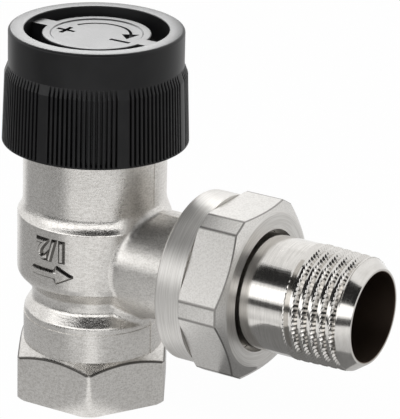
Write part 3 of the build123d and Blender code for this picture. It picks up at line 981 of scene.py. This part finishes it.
def wrap_on_body(piece, radius, height, facing):
    """Lay a flat piece round the valve axis: X runs round the body and Z stands out of it."""
    for vertex in piece.data.vertices:
        along, across, out = vertex.co
        turn = facing + along / radius
        vertex.co = (
            (radius + out) * math.cos(turn),
            (radius + out) * math.sin(turn),
            height + across,
        )


def pipe_size(sizes):
    """The raised pipe size, upside down as it is read with the inlet at the top."""
    deselect()
    bpy.ops.object.text_add()
    text = bpy.context.object
    text.name = "pipe_size"
    text.data.body = "1/2"
    text.data.size = sizes.size_letter
    text.data.extrude = max(0, (sizes.relief + sizes.sink) / 2 - sizes.bevel)
    text.data.bevel_depth = sizes.bevel
    text.data.bevel_resolution = 0
    text.data.offset = -sizes.letter_thin
    text.data.align_x = "CENTER"
    text.data.align_y = "CENTER"
    text.data.resolution_u = ARC_STEPS
    activate(text)
    bpy.ops.object.convert(target="MESH")
    lift = Matrix.Translation((0, 0, (sizes.relief - sizes.sink) / 2))
    text.data.transform(lift @ Matrix.Rotation(FULL_TURN / 2, 4, "Z"))
    mend(text)
    return text


def copied_solid(node, name):
    """A new piece with a welded copy of a solid's mesh."""
    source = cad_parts[node]
    mesh = source.data.copy()
    mesh.transform(source.matrix_world)
    mesh.name = name
    piece = bpy.data.objects.new(name, mesh)
    bpy.context.scene.collection.objects.link(piece)
    activate(piece)
    bpy.ops.mesh.customdata_custom_splitnormals_clear()
    mend(piece)
    return piece


# Shoulder: cuts as shares of its height, and the angles in degrees over which it fades towards the branch
SHOULDER_CUTS = (-0.08, -0.04, 0.0, 0.03, 0.06, 0.1, 0.16, 0.24, 0.34, 0.46, 0.6, 0.78, 1.0)
BRANCH_EDGE = 34
BRANCH_FADE = 8


def hollow_shoulder(body, sizes):
    """Hollow the cone under the neck, so that it ends in a crisp edge above the bulge."""
    neck = sizes.neck_d / 2
    bulge = sizes.bulge_d / 2
    low, high, hollow = sizes.shoulder_low, sizes.shoulder_high, sizes.shoulder_hollow
    reach = math.sqrt(hollow**2 - (hollow - (bulge - neck)) ** 2)
    cut_across(body, [(0, 0, low + step * reach) for step in SHOULDER_CUTS], (0, 0, 1))
    for vertex in body.data.vertices:
        radius = math.hypot(vertex.co.x, vertex.co.y)
        height = vertex.co.z
        if radius < neck - sizes.shoulder_soft or not low < height < low + reach:
            continue
        cone = bulge - (bulge - neck) * clamped((height - low) / (high - low))
        drop = low + reach - height
        arc = neck + hollow - math.sqrt(hollow**2 - drop**2)
        wanted = (bulge + arc - math.hypot(bulge - arc, sizes.shoulder_soft)) / 2
        aside = abs(math.degrees(math.atan2(vertex.co.y, vertex.co.x)))
        scale = (radius + (wanted - cone) * clamped((aside - BRANCH_EDGE) / BRANCH_FADE)) / radius
        vertex.co.x *= scale
        vertex.co.y *= scale


# Direction that the marked side of the body faces
FRONT = -FULL_TURN / 4


class VALVE_OT_body(bpy.types.Operator):
    """Finish the forged body and raise its flow arrow and pipe size"""

    bl_idname = "valve.body"
    bl_label = "Forged Body"

    def execute(self, context):
        sizes = context.scene.valve_forging
        finish = context.scene.valve_finish
        material = forged_nickel(finish, sizes)
        # The raised marks' finish paints shade on their sides below the crest
        raised = forged_nickel(finish, sizes, "raised_nickel", sizes.bulge_d / 2 + sizes.relief)
        dress(["valve_body"], material)
        body = copied_solid("valve_body", "forged_body")
        hollow_shoulder(body, sizes)
        hand_in(body, material, "valve", "valve_body")
        arrow = prism("flow_arrow", flow_arrow_outline(sizes), -sizes.sink, sizes.relief)
        apply_modifier(arrow, "BEVEL", width=sizes.bevel, segments=1, limit_method="ANGLE")
        marks = ((arrow, sizes.arrow_height), (pipe_size(sizes), sizes.size_height))
        for mark, height in marks:
            slice_along(mark, sizes.arrow_shaft)
            wrap_on_body(mark, sizes.bulge_d / 2, height, FRONT)
            hand_in(mark, raised, "valve")
        return {"FINISHED"}


class VALVE_OT_union_nut(bpy.types.Operator):
    """Finish the union nut"""

    bl_idname = "valve.union_nut"
    bl_label = "Union Nut"

    def execute(self, context):
        dress(["union_nut"], turned_nickel(context.scene.valve_finish, context.scene.valve_nut))
        return {"FINISHED"}


class VALVE_OT_tailpiece(bpy.types.Operator):
    """Turn the tailpiece and cut its tapered pipe thread"""

    bl_idname = "valve.tailpiece"
    bl_label = "Tailpiece"

    def execute(self, context):
        sizes = context.scene.valve_tail
        end = TAIL_END - sizes.end_chamfer
        start = end - sizes.thread_length
        tail = tail_blank(sizes, start, end)
        bar = thread_bar(sizes, start, end)
        hollow = sizes.bore_d / 2 + sizes.rim_width / 2
        low, high = start - OVERRUN, end + OVERRUN
        drill = turn_on_outlet("drill", ((low, 0), (low, hollow), (high, hollow), (high, 0)), THREAD_STEPS)
        combine(bar, drill, "DIFFERENCE")
        combine(tail, bar, "UNION")
        material = bright_nickel(context.scene.valve_finish, sizes.bore_d / 2)
        hand_in(tail, material, "tailpiece", "tailpiece")
        return {"FINISHED"}


class VALVE_OT_hand_cap(bpy.types.Operator):
    """Turn the hand cap, sink its grooves, bridge its disc and cut its turning marks"""

    bl_idname = "valve.hand_cap"
    bl_label = "Hand Cap"

    def execute(self, context):
        sizes = context.scene.valve_cap
        cap = turned_cap(sizes)
        sink_grooves(cap, sizes)
        bridge_disc(cap, sizes)
        cut_marks(cap, sizes)
        hand_in(cap, black_plastic(context.scene.valve_finish), "cap", "hand_cap")
        return {"FINISHED"}


# Solids inside the valve, by finish
BRASS_NODES = (
    "bonnet", "gland_screw", "gland_washer", "guide_bush", "disc_holder", "disc_nut", "spring_cup"
)
STEEL_NODES = ("pressure_pin", "spindle", "spindle_circlip", "return_spring")
RUBBER_NODES = ("valve_disc", "bonnet_o_ring", "inner_pin_o_ring", "outer_pin_o_ring")


def press_spring(spring):
    """Give the spring a mesh of its own."""
    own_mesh(spring)


class VALVE_OT_insert(bpy.types.Operator):
    """Finish the pieces inside the valve"""

    bl_idname = "valve.insert"
    bl_label = "Insert"

    def execute(self, context):
        finish = context.scene.valve_finish
        dress(BRASS_NODES, plain_brass(finish))
        steel = stainless(finish)
        dress(STEEL_NODES, steel)
        dress(RUBBER_NODES, seal_rubber(finish))
        spring = copied_solid("return_spring", "return_spring_wire")
        hand_in(spring, steel, "valve", "return_spring")
        press_spring(spring)
        return {"FINISHED"}


# Camera: measured from the photo's edges, with its picture 400 by 419 pixels
PICTURE_HEIGHT = 419
FOCAL_PIXELS = 3000.0
SENSOR = 36.0
CAMERA_TURN = math.radians(30.56)
CAMERA_DROP = math.radians(21.014)
CAMERA_ROLL = math.radians(1.45)
CAMERA_OFFSET = Vector((-20.061, -32.6, 560.25)) * MM
SUBJECT = Vector((12.0, 0.0, 33.0)) * MM
# Floor: its size, its paint, the gap below the valve, and the zones of painted shadow and painted shade
# that reflections show
FLOOR_SIZE = 3.0
FLOOR_PAINT = (0.86, 0.86, 0.86)
FLOOR_GAP = 0.02 * MM
SHADOW_NEAR = 14 * MM
SHADOW_FAR = 85 * MM
FRONT_HALF = 6 * MM
SIDE_START = 0.6
SIDE_END = 0.85
# Cards: their distances from the valve, their mesh, and the corners of the dim one below the tailpiece that
# paints shade into reflections
DOME_RADIUS = 0.6
BACK_DISTANCE = 0.05
LOW_DISTANCE = 0.2
CARD_COLUMNS = 24
CARD_ROWS = 8
UNDER_LOW = Vector((32.0, -26.0, 13.0)) * MM
UNDER_HIGH = Vector((62.0, -2.0, 13.0)) * MM
WHITE = (1.0, 1.0, 1.0)
BLACK = (0.0, 0.0, 0.0)


def camera_axes():
    """The camera's right, up and forward directions."""
    right = Vector((math.cos(CAMERA_TURN), math.sin(CAMERA_TURN), 0))
    level_ahead = Vector((-right.y, right.x, 0))
    ahead = level_ahead * math.cos(CAMERA_DROP) - Vector((0, 0, math.sin(CAMERA_DROP)))
    above = level_ahead * math.sin(CAMERA_DROP) + Vector((0, 0, math.cos(CAMERA_DROP)))
    spin = Matrix.Rotation(-CAMERA_ROLL, 3, ahead)
    return spin @ right, spin @ above, ahead


def place_camera(scene):
    """Put the camera at the photo's view."""
    right, above, ahead = camera_axes()
    data = bpy.data.cameras.new("photo_camera")
    data.sensor_fit = "VERTICAL"
    data.sensor_height = SENSOR
    data.lens = FOCAL_PIXELS * SENSOR / PICTURE_HEIGHT
    camera = bpy.data.objects.new("photo_camera", data)
    scene.collection.objects.link(camera)
    axes = Matrix((right, above, -ahead)).transposed()
    spot = -(right * CAMERA_OFFSET.x + above * CAMERA_OFFSET.y + ahead * CAMERA_OFFSET.z)
    camera.matrix_world = Matrix.Translation(spot) @ axes.to_4x4()
    scene.camera = camera


def seen_directly(wire):
    """1 for rays from the eye, and apart from them 1 for reflections and for glass."""
    eye = wire.node("LightPath", output="Is Camera Ray")
    shine = wire.node("LightPath", output="Is Glossy Ray")
    glass = wire.node("LightPath", output="Is Transmission Ray")
    return eye, shine.most(glass)


def light_world(scene, levels):
    """White behind the valve, and an even fill light."""
    world = bpy.data.worlds.new("studio")
    world.use_nodes = True
    world.node_tree.nodes.clear()
    scene.world = world
    wire = Wire(world.node_tree)
    eye, shine = seen_directly(wire)
    fill = wire.node("Background", {"Color": rgba(WHITE), "Strength": levels.fill})
    white = wire.node("Background", {"Color": rgba(WHITE), "Strength": 1.0})
    surface = wire.node("MixShader", {0: eye.most(shine), 1: fill, 2: white})
    wire.node("OutputWorld", {"Surface": surface})


def floor_mirrored(place, levels):
    """The floor's brightness in reflections: a painted shadow beside the valve and painted shade at the
    sides.
    """
    across, along, _ = place.parts()
    right_x, right_y = math.cos(CAMERA_TURN), math.sin(CAMERA_TURN)
    beside = across - across.node("Clamp", {"Value": across, "Min": 0.0, "Max": TAIL_END})
    # Painted shadow: the glow in reflections is dim near the valve and grows bright further off
    away = off_axis(beside, along).rise(SHADOW_NEAR, SHADOW_FAR)
    offset = across - SUBJECT.x
    side = (offset * right_x + along * right_y) / off_axis(offset, along)
    # Painted shade: the glow is dimmer at the left and the right
    left = side.rise(-SIDE_START, -SIDE_END) * (1 - levels.floor_left)
    right = side.rise(SIDE_START, SIDE_END) * (1 - levels.floor_right)
    # The painted shadow leaves out a strip that runs from the valve towards the camera
    front = abs(across * right_x + along * right_y).rise(FRONT_HALF * 1.4, FRONT_HALF * 0.6)
    near = front * (1 - levels.floor_shadow) + levels.floor_shadow
    return away * (1 - left) * (1 - right) + (1 - away) * near


def lay_floor(levels):
    """A plain white floor that keeps the valve's shadow, and shows a painted shadow and painted shade in
    reflections.
    """
    deselect()
    bpy.ops.mesh.primitive_plane_add(size=FLOOR_SIZE, location=(0, 0, -FLOOR_GAP))
    floor = bpy.context.object
    floor.name = "floor"
    material, place = start_material("floor_white")
    eye, shine = seen_directly(place)
    tone = shine.blend(WHITE, floor_mirrored(place, levels).blend(BLACK, WHITE))
    paint = place.node("BsdfDiffuse", {"Color": rgba(FLOOR_PAINT)})
    glow = place.node("Emission", {"Color": tone, "Strength": 1.0})
    lift = eye * levels.floor_glow + shine
    surface = place.node("MixShader", {0: lift, 1: paint, 2: glow})
    place.node("OutputMaterial", {"Surface": surface})
    floor.data.materials.append(material)


def view_direction(turn, rise):
    """A direction from the valve, its turn in degrees to the right of the camera's side."""
    base = CAMERA_TURN - FULL_TURN / 4
    turn = base + math.radians(turn)
    rise = math.radians(rise)
    flat = math.cos(rise)
    return Vector((flat * math.cos(turn), flat * math.sin(turn), math.sin(rise)))


def card_material(name, strength):
    """An even glow."""
    material, place = start_material(name)
    glow = place.node("Emission", {"Color": rgba(WHITE), "Strength": strength})
    place.node("OutputMaterial", {"Surface": glow})
    return material


def new_card(name, columns, rows):
    """A flat square card, from -1 to 1 both ways, to be put in its place."""
    deselect()
    bpy.ops.mesh.primitive_grid_add(x_subdivisions=columns, y_subdivisions=rows, size=2.0)
    card = bpy.context.object
    card.name = name
    return card


def finish_card(card, strength):
    """Let a card glow, and show it to reflections only."""
    card.data.materials.append(card_material(card.name, strength))
    card.visible_camera = False
    card.visible_diffuse = False
    card.visible_shadow = False


def lay_card(name, low, high, strength):
    """A level card between two corners that only reflections show."""
    card = new_card(name, 1, 1)
    for vertex in card.data.vertices:
        across = high.x if vertex.co.x > 0 else low.x
        along = high.y if vertex.co.y > 0 else low.y
        vertex.co = Vector((across, along, low.z))
    finish_card(card, strength)


def hang_card(name, turns, rises, strength, radius=DOME_RADIUS, centre=SUBJECT):
    """A curved card that only reflections show, between two turns and two rises."""
    card = new_card(name, CARD_COLUMNS, CARD_ROWS)
    for vertex in card.data.vertices:
        across = (vertex.co.x + 1) / 2
        upward = (vertex.co.y + 1) / 2
        turn = turns[0] + (turns[1] - turns[0]) * across
        rise = rises[0] + (rises[1] - rises[0]) * upward
        vertex.co = centre + view_direction(turn, rise) * radius
    finish_card(card, strength)


def hang_lamp(name, turn, rise, distance, size, power):
    """A large soft lamp that points at the valve."""
    data = bpy.data.lights.new(name, "AREA")
    data.shape = "DISK"
    data.size = size
    data.energy = power
    lamp = bpy.data.objects.new(name, data)
    bpy.context.scene.collection.objects.link(lamp)
    spot = SUBJECT + view_direction(turn, rise) * distance
    facing = (spot - SUBJECT).to_track_quat("Z", "Y").to_matrix()
    lamp.matrix_world = Matrix.Translation(spot) @ facing.to_4x4()
    lamp.visible_camera = False
    lamp.visible_glossy = False


class VALVE_OT_stage(bpy.types.Operator):
    """Set the camera, the white floor and background, the lamps and the reflector cards"""

    bl_idname = "valve.stage"
    bl_label = "Stage"

    def execute(self, context):
        scene = context.scene
        levels = scene.valve_stage
        scene.view_settings.view_transform = "Standard"
        place_camera(scene)
        light_world(scene, levels)
        lay_floor(levels)
        cap_middle = Vector((0, 0, CAP_TOP))
        hang_card("dark_gap_left", (-118, -25), (33, 61), levels.dark_card)
        hang_card("dark_gap_right", (-25, 62), (24, 100), levels.dark_card)
        hang_card("low_gap", (-80, 62), (-9, 2), levels.low_card, LOW_DISTANCE)
        hang_card("front_strip", (-80, 30), (6, 28), levels.strip_card)
        hang_card("rear_wall", (150, 210), (6, 45), levels.rear_card)
        hang_card("back_softbox", (161, 210), (14, 46), levels.back_card, BACK_DISTANCE, cap_middle)
        # A dim card under the tailpiece paints shade into its reflections
        lay_card("under_tail_shade", UNDER_LOW, UNDER_HIGH, levels.under_shade_card)
        hang_lamp("top_lamp", turn=-25, rise=62, distance=0.8, size=0.6, power=levels.key_power)
        return {"FINISHED"}


OPERATORS = (
    VALVE_OT_body,
    VALVE_OT_union_nut,
    VALVE_OT_tailpiece,
    VALVE_OT_hand_cap,
    VALVE_OT_insert,
    VALVE_OT_stage,
)


class VALVE_PT_dressing(bpy.types.Panel):
    """Lists the pieces and their sizes"""

    bl_idname = "VALVE_PT_dressing"
    bl_label = "Radiator Valve"
    bl_space_type = "VIEW_3D"
    bl_region_type = "UI"
    bl_category = "Valve"

    def draw(self, context):
        for step in OPERATORS:
            self.layout.operator(step.bl_idname)
        for name, group in GROUPS.items():
            box = self.layout.box()
            box.label(text=group.__doc__)
            for prop in group.__annotations__:
                box.prop(getattr(context.scene, name), prop)


CLASSES = (*GROUPS.values(), *OPERATORS, VALVE_PT_dressing)


def register():
    """Register the classes and hang the properties on the scene."""
    for item in CLASSES:
        bpy.utils.register_class(item)
    for name, group in GROUPS.items():
        setattr(bpy.types.Scene, name, bpy.props.PointerProperty(type=group))


def unregister():
    """Take the properties off the scene and the classes out."""
    for name in GROUPS:
        delattr(bpy.types.Scene, name)
    for item in reversed(CLASSES):
        bpy.utils.unregister_class(item)


def main():
    """Dress the valve and set the stage."""
    register()
    bpy.ops.valve.body()
    bpy.ops.valve.union_nut()
    bpy.ops.valve.tailpiece()
    bpy.ops.valve.hand_cap()
    bpy.ops.valve.insert()
    bpy.ops.valve.stage()


if __name__ == "__main__":
    main()
